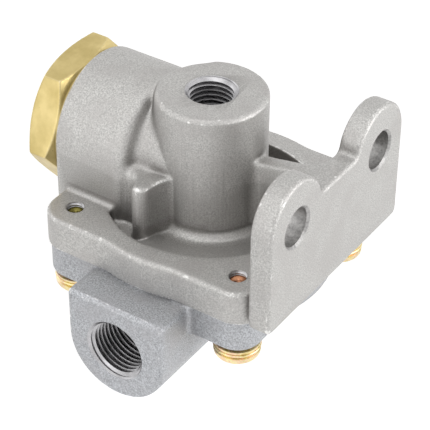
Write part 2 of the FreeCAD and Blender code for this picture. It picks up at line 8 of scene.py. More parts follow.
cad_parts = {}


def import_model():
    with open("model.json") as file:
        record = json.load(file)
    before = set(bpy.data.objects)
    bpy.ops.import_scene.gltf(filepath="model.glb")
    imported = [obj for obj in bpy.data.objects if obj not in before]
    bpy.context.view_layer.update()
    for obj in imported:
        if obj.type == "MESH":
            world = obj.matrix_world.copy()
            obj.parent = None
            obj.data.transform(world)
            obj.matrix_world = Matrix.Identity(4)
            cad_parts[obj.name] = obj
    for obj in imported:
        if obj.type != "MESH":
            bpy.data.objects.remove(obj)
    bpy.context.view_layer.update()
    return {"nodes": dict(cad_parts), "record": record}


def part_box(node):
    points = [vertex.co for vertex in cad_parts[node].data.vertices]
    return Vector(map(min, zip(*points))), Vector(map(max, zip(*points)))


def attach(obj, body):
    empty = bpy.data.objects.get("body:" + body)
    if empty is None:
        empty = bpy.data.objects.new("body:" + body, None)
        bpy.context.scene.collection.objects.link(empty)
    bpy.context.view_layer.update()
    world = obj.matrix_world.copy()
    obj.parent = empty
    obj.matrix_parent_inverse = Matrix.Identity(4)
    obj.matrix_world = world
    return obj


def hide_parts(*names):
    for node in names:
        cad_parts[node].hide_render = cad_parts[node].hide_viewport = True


# Quick exhaust valve: finish of the castings, brass nut, plated screws and inner pieces.
# Metres, in the frame's own axes.

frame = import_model()

MM = 0.001
UP = (0, 0, 1)
OUT = (1, 0, 0)                  # through the bracket plate
SQUARE = ((-1, -1), (1, -1), (1, 1), (-1, 1))
MOUNTS = {m["name"]: m for m in frame["record"]["mounts"]}
BODY_LOW, BODY_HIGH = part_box("body")
JOINT_Z = BODY_LOW.z
BOSS_TOP = BODY_HIGH.z
PLATE_OUTER_X = BODY_HIGH.x
SCREWS = ["cover_screw_%d" % k for k in range(1, 5)]
WASHERS = ["lock_washer_%d" % k for k in range(1, 5)]

# Camera: direction, roll, focal length and place, fitted to the photograph
CAMERA_TURN = math.radians(33.752)
CAMERA_TILT = math.radians(36.45)
CAMERA_ROLL = math.radians(0.504)
CAMERA_TARGET = Vector((-26.485, 41.556, -5.134)) * MM
CAMERA_DISTANCE = 523.57 * MM
CAMERA_LENS = 145.42
CAMERA_NEAR = 10 * MM
SENSOR = 36.0

# Lamps: name, compass direction and height in degrees, watts
LAMPS = (("right_softbox", 20, 12, 4.2),
         ("left_softbox", -170, 22, 0.85),
         ("front_softbox", -106, 12, 1.1),
         ("top_softbox", -95, 60, 0.8),
         ("high_softbox", -56, 78, 0.5))
LAMP_DISTANCE = 0.9
LAMP_SIZE = 0.6
WORLD_LEVEL = 0.09
FLOOR_GREY = 0.80
FLOOR_GLOW = 0.80
FLOOR_HALF = 2.0
FLOOR_DROP = 0.05 * MM

# Skins of the castings and the nut
BODY_VOXEL = 0.30 * MM
COVER_VOXEL = 0.30 * MM
NUT_VOXEL = 0.25 * MM
BODY_TRIANGLES = 150000
COVER_TRIANGLES = 110000
NUT_TRIANGLES = 50000
CAST_SMOOTHING = 4
NUT_SMOOTHING = 3
SMOOTHING_SHARE = 0.5
JOINT_KEEP = 0.45 * MM           # edges nearer than this to the machined joint face stay sharp
HOLLOW_ROUNDS = 40               # how widely a hollow is felt
SHARP_ANGLE = math.radians(38)
WELD = 0.001 * MM

# Boxes in which a casting is rounded off further: corners, margin (mm) and rounds
BODY_SOFT = (((-18.5, -22, 50), (-9, 22, 80), 2.0, 90),
             ((-16.5, -21.5, 33), (-11.0, -17.0, 50), 1.0, 40),
             ((-16.5, 17.0, 33), (-11.0, 21.5, 50), 1.0, 40),
             ((12.5, -9, 51), (33, 9, 64), 1.5, 30),
             ((-10.5, -34, 34), (20, -14, 38), 1.5, 12))
COVER_SOFT = (((11.5, -43, 21), (16, -32.5, 29), 1.5, 40),
              ((11.5, 32.5, 21), (16, 43, 29), 1.5, 40),
              ((11.0, -45, 2), (16, -42, 24), 1.0, 14))

# Ledges: painted shade on faces that have casting under them, standing in for the shade and dark reflection
# of the casting below
LEDGE_REACH = 16 * MM            # how far above a ledge a wall takes on painted shade
LEDGE_TILTS = (-20, -50)         # degrees of the ways that look down from the wall
LEDGE_TURNS = 12
LEDGE_ROUNDS = 8
LEDGE_FLAT = 0.80                # upward part of the normal from which a face takes no painted shade
LEDGE_FADE = 0.35
LEDGE_START = 0.05 * MM          # where a way begins, over the skin
LEDGE_SLANT = 0.2                # least lean of a way off the wall
LEDGE_OPEN = 0.4                 # weight of the open view, which no casting blocks

# Pipe threads: 18 turns to the inch, 60 degree ridges, taper 1 in 16
THREAD_PITCH = 25.4 / 18 * MM
THREAD_DEPTH = 0.78 * THREAD_PITCH
THREAD_TAPER = 1 / 32            # radius lost over the length
THREAD_SIDES = 128
THREAD_OUTLINE = ((0.05, 0), (0.45, 1), (0.55, 1), (0.95, 0))    # share of the pitch, share of the depth
DELIVERY_PORTS = ("delivery_port_front", "delivery_port_rear")
PORT_CHAMFER = {"balance_port": 0.06 * MM, "delivery_port_front": 0.12 * MM,
                "delivery_port_rear": 0.12 * MM, "supply_port": 0.80 * MM}
PORT_DRILL = {"balance_port": 5.2 * MM, "delivery_port_front": 7.1 * MM,
              "delivery_port_rear": 7.1 * MM, "supply_port": 5.0 * MM}

# Holes in the body
SCREW_HOLE_R = 2.55 * MM         # at the thread's roots
SCREW_DRILL_R = 2.15 * MM
SCREW_HOLE_CHAMFER = 0.12 * MM
SCREW_PLUG_R = 3.5 * MM
FLANGE_TOP = JOINT_Z + 9.5 * MM
BRACKET_CHAMFER = 0.6 * MM
PLATE_T = 6.3 * MM

# Cutting
CUT_SIDES = 128
OVERRUN = 1.5 * MM               # how far a cutter passes the skin
PLUG_SPARE = 0.4 * MM            # how much wider a plug is than the chamfer of its hole
SLACK = 0.02 * MM                # overlap of a thread with its core
HOLE_MARGIN = 0.03 * MM          # how far beyond its widest radius a hole still counts as cut
PORT_MARGIN = 0.02 * MM          # the same for a port
PORT_END = 0.1 * MM              # how far beyond its length a port still counts as cut
FACE_MARGIN = 0.01 * MM          # how far before the outer face a hole stops counting as cut

# Screws
SCREW_SIDES = 64
SCREW_PITCH = 1.0 * MM
SCREW_THREAD_DEPTH = 0.55 * MM
SCREW_R = 2.5 * MM
SCREW_CORE_R = SCREW_R - SCREW_THREAD_DEPTH
HEAD_H = 3.9 * MM
HEAD_R = 6.3 * MM
RIM_H = 0.70 * MM
RIM_ROUND = 0.33 * MM
RIM_STEPS = 5
DOME_R = 6.15 * MM
DOME_H = 1.9 * MM
DOME_STEPS = 10
CROWN_R = 3.6 * MM
GROOVE_H = 0.70 * MM
GROOVE_R = 5.5 * MM
NECK_H = 0.6 * MM                # from the head down to the core
COLLAR_LOW = 0.9 * MM            # last turn at the tip, measured from the tip
COLLAR_HIGH = 0.4 * MM
TIP_R = 2.05 * MM
DIMPLE_R = 1.4 * MM
DIMPLE_H = 0.6 * MM
CROSS_LENGTH = 6.4 * MM
CROSS_WIDTH = 1.3 * MM
CROSS_DEPTH = 2.2 * MM
TURNS_START = 1.0 * MM           # plain shank between head and thread
TURNS_SHORT = 3.4 * MM           # shank that the thread leaves free, both ends together

# Looks of the castings. Colours are linear; spans give where an effect starts and where it is full.
# Shades: in the grain, on the grain, patches, and edges made bright partly by wear and partly by painted
# highlight.
BODY_SHADES = ((0.425, 0.418, 0.406), (0.66, 0.65, 0.63), (0.48, 0.462, 0.45), (0.92, 0.91, 0.89))
COVER_SHADES = ((0.32, 0.325, 0.34), (0.63, 0.645, 0.67), (0.46, 0.455, 0.47), (0.92, 0.92, 0.93))
BODY_JOINT_SHADOW = 0.8                  # painted shadow along the joint
COVER_JOINT_SHADOW = 0.0
# Painted shade: darker colour in the wider hollows of the castings
HOLLOW_SHADE = (0.11, 0.105, 0.10)
# Painted shade and reflection on walls over a ledge of the casting
LEDGE_SHADE = (0.13, 0.12, 0.11)
# Painted shadow along the joint
JOINT_SHADOW = (0.06, 0.055, 0.05)
CAST_METAL = 0.85
GRAIN = 0.36 * MM
FINE_GRAIN = 0.20 * MM
CLOUDS = 7.0 * MM
CHIPS = 1.6 * MM
GRAIN_SPAN = (0.36, 0.64)
CLOUD_SPAN = (0.40, 0.65)
CLOUD_SHARE = 0.5
CHIP_SHIFT = (-0.05, 0.03)       # what a chip takes from an edge's sharpness or adds to it
WEAR_AND_HIGHLIGHT_SPAN = (0.045, 0.080)       # sharpness of an edge that is made bright: wear and painted highlight
WEAR_AND_HIGHLIGHT_SHARE = 0.9
HOLLOW_SPAN = (0.10, 0.60)
HOLLOW_SHARE = 0.45
LEDGE_SPAN = (0.08, 0.60)
LEDGE_SHARE = 0.66
JOINT_SHADOW_SPAN = (0.06 * MM, 0.40 * MM)
JOINT_SHADOW_BREAK = (0.38, 0.58, 0.1, 1.0)     # span of the chips, and how much painted shadow they leave at its ends
CAST_ROUGHNESS = (0.62, 0.42)
WORN_GLOSS = 0.15
GRAIN_BUMP = (0.12 * MM, 0.7)    # height and strength
FINE_BUMP = (0.05 * MM, 0.6)

# Looks of the other pieces: darker and lighter shade, tints, specks
THREAD_SHADES = ((0.34, 0.335, 0.34), (0.58, 0.575, 0.59))
BORE_SHADES = ((0.26, 0.255, 0.25), (0.52, 0.51, 0.50))
BRASS_SHADES = ((0.56, 0.44, 0.175), (0.73, 0.59, 0.27))
RUBBER_SHADES = ((0.018, 0.018, 0.019), (0.035, 0.035, 0.036))
NYLON_SHADES = ((0.50, 0.47, 0.38), (0.60, 0.57, 0.48))
SEAT_SHADES = ((0.62, 0.63, 0.64), (0.74, 0.75, 0.76))
WIRE_SHADES = ((0.40, 0.40, 0.42), (0.52, 0.52, 0.54))
BRASS_SPECK = (0.25, 0.18, 0.08)
BRASS_WORN = (0.97, 0.88, 0.62)
BRASS_METAL = 0.85
BRASS_WORN_SPAN = (0.05, 0.14)
SPECK_SPAN = (0.76, 0.82)
ZINC_TINTS = ((0.32, (0.70, 0.55, 0.24)), (0.45, (0.84, 0.73, 0.40)),
              (0.56, (0.82, 0.58, 0.40)), (0.70, (0.66, 0.62, 0.28)))
OLIVE_END = (0.24, 0.21, 0.06)
COPPER_END = (0.52, 0.25, 0.14)
ZINC_END_H = 1.0 * MM            # height over the joint at which the end's own tint is full


def basis(axis):
    """Two directions square to the axis, and the axis, right-handed."""
    along = Vector(axis).normalized()
    helper = Vector(UP) if abs(along.z) < 0.9 else Vector(OUT)
    side = along.cross(helper).normalized()
    return side, along.cross(side), along


def linked(name, mesh):
    piece = bpy.data.objects.new(name, mesh)
    bpy.context.scene.collection.objects.link(piece)
    return piece


def mesh_object(name, points, faces):
    mesh = bpy.data.meshes.new(name)
    mesh.from_pydata([tuple(p) for p in points], [], faces)
    mesh.update()
    return linked(name, mesh)


def discard(*pieces):
    for piece in pieces:
        mesh = piece.data
        bpy.data.objects.remove(piece)
        bpy.data.meshes.remove(mesh)


def turned(name, base, axis, outline, sides):
    """Closed solid of revolution from (height, radius) corners, lowest first."""
    side, up, along = basis(axis)
    base = Vector(base)
    points = []
    for height, radius in outline:
        for k in range(sides):
            turn = 2 * math.pi * k / sides
            way = side * math.cos(turn) + up * math.sin(turn)
            points.append(base + along * height + way * radius)
    faces = [tuple(reversed(range(sides)))]
    for row in range(len(outline) - 1):
        low = row * sides
        for k in range(sides):
            after = (k + 1) % sides
            faces.append((low + k, low + after, low + sides + after, low + sides + k))
    last = (len(outline) - 1) * sides
    faces.append(tuple(range(last, last + sides)))
    return mesh_object(name, points, faces)


def helical(name, base, axis, root, crest, pitch, length, taper, sides):
    """Closed solid with a right-hand helical ridge, from root radius to crest radius."""
    side, up, along = basis(axis)
    base = Vector(base)
    per_turn = len(THREAD_OUTLINE)
    rows = [((turn + share) * pitch, root + (crest - root) * rise)
            for turn in range(int(length / pitch) + 1) for share, rise in THREAD_OUTLINE]
    points = []
    for k in range(sides):
        turn = 2 * math.pi * k / sides
        way = side * math.cos(turn) + up * math.sin(turn)
        for height, radius in rows:
            place = height + pitch * k / sides
            points.append(base + along * place + way * (radius + taper * place))
    count = len(rows)
    faces = []
    for k in range(sides - 1):
        for j in range(count - 1):
            a = k * count + j
            faces.append((a, a + count, a + count + 1, a + 1))
    seam = (sides - 1) * count
    for j in range(count - 1 - per_turn):
        faces.append((seam + j, j + per_turn, j + per_turn + 1, seam + j + 1))
    low = [k * count for k in range(sides)]
    low += range(per_turn, 0, -1)
    high = [k * count + count - 1 for k in range(sides)]
    high += [seam + count - 1 - j for j in range(1, per_turn + 1)]
    bottom = len(points)
    points.append(base - along * (pitch / 2))
    points.append(base + along * (rows[-1][0] + 1.5 * pitch))
    faces += [(bottom, b, a) for a, b in zip(low, low[1:] + low[:1])]
    faces += [(bottom + 1, a, b) for a, b in zip(high, high[1:] + high[:1])]
    return mesh_object(name, points, faces)


def apply_modifiers(piece):
    graph = bpy.context.evaluated_depsgraph_get()
    old = piece.data
    fresh = bpy.data.meshes.new_from_object(piece.evaluated_get(graph), depsgraph=graph)
    piece.modifiers.clear()
    piece.data = fresh
    bpy.data.meshes.remove(old)


def boolean(piece, tool, operation):
    modifier = piece.modifiers.new("cut", "BOOLEAN")
    modifier.object = tool
    modifier.operation = operation
    modifier.solver = "MANIFOLD"
    apply_modifiers(piece)
    discard(tool)


def solid_copy(name, node, plugs):
    """Copy of a CAD node's mesh, welded, with plugs in its ports."""
    work = bmesh.new()
    work.from_mesh(frame["nodes"][node].data)
    bmesh.ops.remove_doubles(work, verts=work.verts, dist=WELD)
    for plug in plugs:
        work.from_mesh(plug.data)
    mesh = bpy.data.meshes.new(name)
    work.to_mesh(mesh)
    work.free()
    discard(*plugs)
    return linked(name, mesh)


def remeshed(piece, voxel):
    modifier = piece.modifiers.new("skin", "REMESH")
    modifier.mode = "VOXEL"
    modifier.voxel_size = voxel
    modifier.adaptivity = 0
    apply_modifiers(piece)


def read(items, key, kind, width):
    """One row of values for each item of a mesh."""
    values = np.empty(len(items) * width, kind)
    items.foreach_get(key, values)
    return values.reshape(-1, width)


def coordinates(mesh):
    return read(mesh.vertices, "co", np.float32, 3).astype(np.float64)


def move_to(mesh, places):
    mesh.vertices.foreach_set("co", places.astype(np.float32).ravel())
    mesh.update()


def neighbours(mesh):
    """Ends of each edge, and how many edges meet at each vertex."""
    ends = read(mesh.edges, "vertices", np.int32, 2)
    return ends, np.maximum(np.bincount(ends.ravel(), minlength=len(mesh.vertices)), 1)


def neighbour_mean(values, ends, degree):
    total = np.empty_like(values)
    for axis in range(values.shape[1]):
        column = values[:, axis]
        total[:, axis] = (np.bincount(ends[:, 0], column[ends[:, 1]], len(values))
                          + np.bincount(ends[:, 1], column[ends[:, 0]], len(values)))
    return total / degree[:, None]


def smoothed(piece, rounds, moves):
    """Rounds every edge as a mould does. moves tells from the places which vertices take part."""
    places = coordinates(piece.data)
    ends, degree = neighbours(piece.data)
    share = moves(places) * SMOOTHING_SHARE
    for _ in range(rounds):
        places += (neighbour_mean(places, ends, degree) - places) * share[:, None]
    move_to(piece.data, places)


def softened(piece, low, high, margin, rounds):
    """Rounds off the part of the skin inside a box, less and less over the margin round it."""
    places = coordinates(piece.data)
    outside = np.maximum(np.array(low) * MM - places, places - np.array(high) * MM).max(1)
    share = np.clip(1 - outside / (margin * MM), 0, 1) * SMOOTHING_SHARE
    ends, _ = neighbours(piece.data)
    ends = ends[(share[ends] > 0).any(1)]
    used, ends = np.unique(ends, return_inverse=True)
    ends = ends.reshape(-1, 2)
    part = places[used]
    degree = np.bincount(ends.ravel(), minlength=len(part))
    for _ in range(rounds):
        part += (neighbour_mean(part, ends, degree) - part) * share[used][:, None]
    places[used] = part
    move_to(piece.data, places)


def skin_values(piece, voxel):
    """At each vertex: signed sharpness of a close edge, convex above 0, and depth in a wider hollow (mm)."""
    mesh = piece.data
    places = coordinates(mesh)
    ends, degree = neighbours(mesh)
    normals = read(mesh.vertex_normals, "vector", np.float32, 3)
    bend = ((places - neighbour_mean(places, ends, degree)) * normals).sum(1)[:, None] / voxel
    edge = (bend + neighbour_mean(bend, ends, degree)) / 2
    wide = places
    for _ in range(HOLLOW_ROUNDS):
        wide = wide + (neighbour_mean(wide, ends, degree) - wide) * SMOOTHING_SHARE
    hollow = ((wide - places) * normals).sum(1) / MM
    return places, {"edge": edge[:, 0], "hollow": hollow}


def decimated(piece, triangles):
    count = sum(len(p.vertices) - 2 for p in piece.data.polygons)
    modifier = piece.modifiers.new("fewer", "DECIMATE")
    modifier.ratio = min(1.0, triangles / count)
    modifier.use_collapse_triangulate = True
    apply_modifiers(piece)


def store(mesh, name, column):
    attribute = mesh.attributes.new(name, "FLOAT", "POINT")
    attribute.data.foreach_set("value", column.astype(np.float32))


def paint(piece, places, values):
    """Carries the values of the dense skin over to the finished mesh."""
    tree = kdtree.KDTree(len(places))
    for k, place in enumerate(places):
        tree.insert(place, k)
    tree.balance()
    nearest = [tree.find(v.co)[1] for v in piece.data.vertices]
    for name, column in values.items():
        store(piece.data, name, column[nearest])


def downward_ways():
    ways = []
    for tilt in LEDGE_TILTS:
        flat, drop = math.cos(math.radians(tilt)), math.sin(math.radians(tilt))
        for k in range(LEDGE_TURNS):
            turn = 2 * math.pi * k / LEDGE_TURNS
            ways.append(Vector((flat * math.cos(turn), flat * math.sin(turn), drop)))
    return ways


def ledge_values(piece):
    """At each vertex, how much of its view downwards ends on the casting itself close by, from 0 to 1."""
    mesh = piece.data
    tree = bvhtree.BVHTree.FromObject(piece, bpy.context.evaluated_depsgraph_get())
    ways = downward_ways()
    values = np.zeros((len(mesh.vertices), 1))
    for k, vertex in enumerate(mesh.vertices):
        normal = vertex.normal
        start = vertex.co + normal * LEDGE_START
        total, blocked = LEDGE_OPEN, 0.0
        for way in ways:
            slant = way.dot(normal)
            if slant > LEDGE_SLANT:
                total += slant
                distance = tree.ray_cast(start, way, LEDGE_REACH)[3]
                if distance is not None:
                    blocked += slant * (1 - distance / LEDGE_REACH)
        steep = min(max((LEDGE_FLAT - normal.z) / LEDGE_FADE, 0.0), 1.0)
        values[k] = steep * blocked / total
    ends, degree = neighbours(mesh)
    for _ in range(LEDGE_ROUNDS):
        values += (neighbour_mean(values, ends, degree) - values) * SMOOTHING_SHARE
    store(mesh, "ledge", values[:, 0])


def skinned(name, node, plugs, voxel, rounds, moves, zones, triangles):
    """Rounded skin over a CAD node's mesh, its ports still plugged, and the values of the dense skin."""
    piece = solid_copy(name, node, plugs)
    remeshed(piece, voxel)
    smoothed(piece, rounds, moves)
    for zone in zones:
        softened(piece, *zone)
    places, values = skin_values(piece, voxel)
    decimated(piece, triangles)
    return piece, places, values


def off_joint(places):
    return (np.abs(places[:, 2] - JOINT_Z) > JOINT_KEEP).astype(float)


def everywhere(places):
    return np.ones(len(places))


def port_facts(name):
    """Mount point, outward axis, radius and length."""
    mount = MOUNTS[name]
    dims = mount["dims"]
    return Vector(mount["pos_m"]), Vector(mount["axis"]), dims["r_mm"] * MM, dims["length_mm"] * MM


def face_height(name):
    """Height of the port's outer face over its mount point: the end of the CAD chamfer."""
    place, axis, _, _ = port_facts(name)
    node = {"balance_port": "body", "supply_port": "cap_nut"}.get(name, "cover")
    low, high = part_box(node)
    return max((corner - place).dot(axis) for corner in (low, high))


def port_plug(name):
    place, axis, radius, length = port_facts(name)
    wide = radius + PORT_CHAMFER[name] + PLUG_SPARE
    return turned("plug", place, axis, ((-length, wide), (face_height(name), wide)), CUT_SIDES)


def cut_port(piece, name):
    """Drilled, chamfered and tapped hole."""
    place, axis, radius, length = port_facts(name)
    face = face_height(name)
    narrower = length * THREAD_TAPER
    root = radius - THREAD_DEPTH
    drill = ((-length - OVERRUN, PORT_DRILL[name]), (-length, PORT_DRILL[name]),
             (-length, root - narrower), (face + OVERRUN, root))
    boolean(piece, turned("drill", place, axis, drill, CUT_SIDES), "DIFFERENCE")
    wide = radius + PORT_CHAMFER[name]
    cone = ((face - (wide - root), root), (face + OVERRUN, wide + OVERRUN))
    boolean(piece, turned("cone", place, axis, cone, CUT_SIDES), "DIFFERENCE")
    start = -length + THREAD_PITCH
    tap = helical("tap", place + axis * start, axis, root - narrower - SLACK, radius - narrower,
                  THREAD_PITCH, length + face - start + length, THREAD_TAPER, THREAD_SIDES)
    boolean(piece, tap, "DIFFERENCE")


def cylinder_test(place, axis, radius, low, high):
    """Test for faces whose centres lie in a cylinder."""
    way = np.array(Vector(axis).normalized())

    def test(centres):
        away = centres - np.array(place)
        along = away @ way
        radial = np.linalg.norm(away - along[:, None] * way, axis=1)
        return (radial < radius) & (along > low) & (along < high)

    return test


def port_test(name):
    place, axis, radius, length = port_facts(name)
    wide = radius + PORT_CHAMFER[name] + PORT_MARGIN
    return cylinder_test(place, axis, wide, -length - PORT_END, face_height(name) - FACE_MARGIN)


def screw_axes():
    """Centre of each screw, from its CAD node."""
    places = []
    for node in SCREWS:
        low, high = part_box(node)
        places.append(Vector(((low.x + high.x) / 2, (low.y + high.y) / 2, 0)))
    return places


def bracket_holes():
    """Where the holes start on the plate's inner face, and their radius."""
    mount = MOUNTS["bracket_bolts"]
    centre = Vector(mount["pos_m"])
    centre.x = PLATE_OUTER_X - PLATE_T
    half = Vector((0, mount["dims"]["spacing_x_mm"] * MM / 2, 0))
    return [centre - half, centre + half], mount["dims"]["hole_r_mm"] * MM


def body_plugs():
    plugs = [port_plug("balance_port")]
    outline = ((JOINT_Z, SCREW_PLUG_R), (FLANGE_TOP, SCREW_PLUG_R))
    for place in screw_axes():
        plugs.append(turned("plug", place, UP, outline, CUT_SIDES))
    starts, radius = bracket_holes()
    wide = radius + BRACKET_CHAMFER + PLUG_SPARE
    for start in starts:
        plugs.append(turned("plug", start, OUT, ((0, wide), (PLATE_T, wide)), CUT_SIDES))
    return plugs


def cut_screw_holes(piece):
    outline = ((JOINT_Z - OVERRUN, SCREW_DRILL_R), (FLANGE_TOP - SCREW_HOLE_CHAMFER, SCREW_DRILL_R),
               (FLANGE_TOP + OVERRUN, SCREW_DRILL_R + SCREW_HOLE_CHAMFER + OVERRUN))
    for place in screw_axes():
        boolean(piece, turned("hole", place, UP, outline, CUT_SIDES), "DIFFERENCE")
        start = Vector((place.x, place.y, JOINT_Z + OVERRUN))
        tap = helical("tap", start, UP, SCREW_DRILL_R - SLACK, SCREW_HOLE_R, SCREW_PITCH,
                      FLANGE_TOP - JOINT_Z, 0, SCREW_SIDES)
        boolean(piece, tap, "DIFFERENCE")


def cut_bracket_holes(piece):
    starts, radius = bracket_holes()
    wide = radius + BRACKET_CHAMFER + OVERRUN
    outline = ((-OVERRUN, wide), (BRACKET_CHAMFER, radius), (PLATE_T - BRACKET_CHAMFER, radius),
               (PLATE_T + OVERRUN, wide))
    for start in starts:
        boolean(piece, turned("hole", start, OUT, outline, CUT_SIDES), "DIFFERENCE")


def body_thread_tests():
    wide = SCREW_HOLE_R + SCREW_HOLE_CHAMFER + HOLE_MARGIN
    top = FLANGE_TOP - FACE_MARGIN
    screw_tests = [cylinder_test(place, UP, wide, JOINT_Z, top) for place in screw_axes()]
    return [port_test("balance_port")] + screw_tests


def bracket_tests():
    starts, radius = bracket_holes()
    wide = radius + BRACKET_CHAMFER + HOLE_MARGIN
    return [cylinder_test(start, OUT, wide, 2 * FACE_MARGIN, PLATE_T - 2 * FACE_MARGIN) for start in starts]


def coat(piece, materials, groups=()):
    """First material all over, the others on the faces that pass a test of their group."""
    mesh = piece.data
    mesh.materials.clear()
    for material in materials:
        mesh.materials.append(material)
    centres = read(mesh.polygons, "center", np.float32, 3).astype(np.float64)
    index = np.zeros(len(centres), np.int32)
    for number, tests in enumerate(groups, 1):
        for test in tests:
            index[test(centres)] = number
    mesh.polygons.foreach_set("material_index", index)


def shade(piece):
    mesh = piece.data
    mesh.polygons.foreach_set("use_smooth", [True] * len(mesh.polygons))
    mesh.set_sharp_from_angle(angle=SHARP_ANGLE)
    mesh.update()


def finish_piece(piece, node, body):
    shade(piece)
    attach(piece, body)
    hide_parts(node)


def body_casting():
    piece, places, values = skinned("body_casting", "body", body_plugs(), BODY_VOXEL, CAST_SMOOTHING,
                                    off_joint, BODY_SOFT, BODY_TRIANGLES)
    cut_port(piece, "balance_port")
    cut_screw_holes(piece)
    cut_bracket_holes(piece)
    paint(piece, places, values)
    ledge_values(piece)
    coat(piece, (cast_body_material(), thread_material("body_threads"), bore_material()),
         (body_thread_tests(), bracket_tests()))
    finish_piece(piece, "body", "housing")


def cover_casting():
    plugs = [port_plug(name) for name in DELIVERY_PORTS]
    piece, places, values = skinned("cover_casting", "cover", plugs, COVER_VOXEL, CAST_SMOOTHING,
                                    off_joint, COVER_SOFT, COVER_TRIANGLES)
    for name in DELIVERY_PORTS:
        cut_port(piece, name)
    paint(piece, places, values)
    ledge_values(piece)
    coat(piece, (cast_cover_material(), thread_material("cover_threads")),
         ([port_test(name) for name in DELIVERY_PORTS],))
    finish_piece(piece, "cover", "housing")


def brass_nut():
    piece, places, values = skinned("brass_nut", "cap_nut", [port_plug("supply_port")], NUT_VOXEL,
                                    NUT_SMOOTHING, everywhere, (), NUT_TRIANGLES)
    cut_port(piece, "supply_port")
    paint(piece, places, values)
    coat(piece, (brass_material(),))
    finish_piece(piece, "cap_nut", "housing")


def arc_outline(centre, radius, start, end, steps):
    """(height, radius) corners along an arc; angles from the axis direction."""
    corners = []
    for k in range(steps + 1):
        turn = math.radians(start + (end - start) * k / steps)
        corners.append((centre[0] + radius * math.cos(turn), centre[1] + radius * math.sin(turn)))
    return corners


def oval_outline(height, radius, swell, steps):
    """(height, radius) corners of a dome's shoulder, from its flat end up to its side."""
    corners = []
    for k in range(steps + 1):
        turn = math.pi / 2 * k / steps
        corners.append((height * (1 - math.cos(turn)), radius + swell * math.sin(turn)))
    return corners


def screw_outline(tip):
    """(height, radius) corners: crown, dome, groove, rim, shank and dimpled tip."""
    rim_low = HEAD_H - RIM_H
    rim_axis = HEAD_R - RIM_ROUND
    outline = [(0.0, CROWN_R / 4)]
    outline += oval_outline(DOME_H, CROWN_R, DOME_R - CROWN_R, DOME_STEPS)
    outline += [(rim_low - GROOVE_H, DOME_R), (rim_low - GROOVE_H / 2, GROOVE_R), (rim_low, GROOVE_R)]
    outline += arc_outline((rim_low + RIM_ROUND, rim_axis), RIM_ROUND, 180, 90, RIM_STEPS)
    outline += arc_outline((HEAD_H - RIM_ROUND, rim_axis), RIM_ROUND, 90, 0, RIM_STEPS)
    outline += [(HEAD_H, SCREW_R), (HEAD_H + NECK_H, SCREW_CORE_R), (tip - COLLAR_LOW, SCREW_CORE_R),
                (tip - COLLAR_HIGH, SCREW_R), (tip, TIP_R), (tip, DIMPLE_R), (tip - DIMPLE_H, DIMPLE_R / 5)]
    return outline


def cross_arm(start, degrees):
    """One slot of the cross drive, narrower at its bottom."""
    spin = Matrix.Rotation(math.radians(degrees), 3, "Z")
    points = []
    for height, half_l, half_w in ((-OVERRUN, CROSS_LENGTH / 2, CROSS_WIDTH / 2),
                                   (CROSS_DEPTH, CROSS_LENGTH / 5, CROSS_WIDTH / 3)):
        for sx, sy in SQUARE:
            points.append(start + spin @ Vector((sx * half_l, sy * half_w, height)))
    faces = [(3, 2, 1, 0), (4, 5, 6, 7), (0, 1, 5, 4), (1, 2, 6, 5), (2, 3, 7, 6), (3, 0, 4, 7)]
    return mesh_object("drive", points, faces)


def screw(number, node, place, zinc):
    """Domed head with a round rim and a cross drive, over a threaded shank."""
    low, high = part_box(node)
    start = Vector((place.x, place.y, low.z))
    tip = high.z - low.z
    piece = turned("zinc_screw_%d" % number, start, UP, screw_outline(tip), SCREW_SIDES)
    for degrees in (0, 90):
        boolean(piece, cross_arm(start, degrees), "DIFFERENCE")
    turns_low = start + Vector((0, 0, HEAD_H + TURNS_START))
    turns = helical("thread", turns_low, UP, SCREW_CORE_R - SLACK, SCREW_R, SCREW_PITCH,
                    tip - HEAD_H - TURNS_SHORT, 0, SCREW_SIDES)
    boolean(piece, turns, "UNION")
    coat(piece, (zinc,))
    finish_piece(piece, node, "housing")


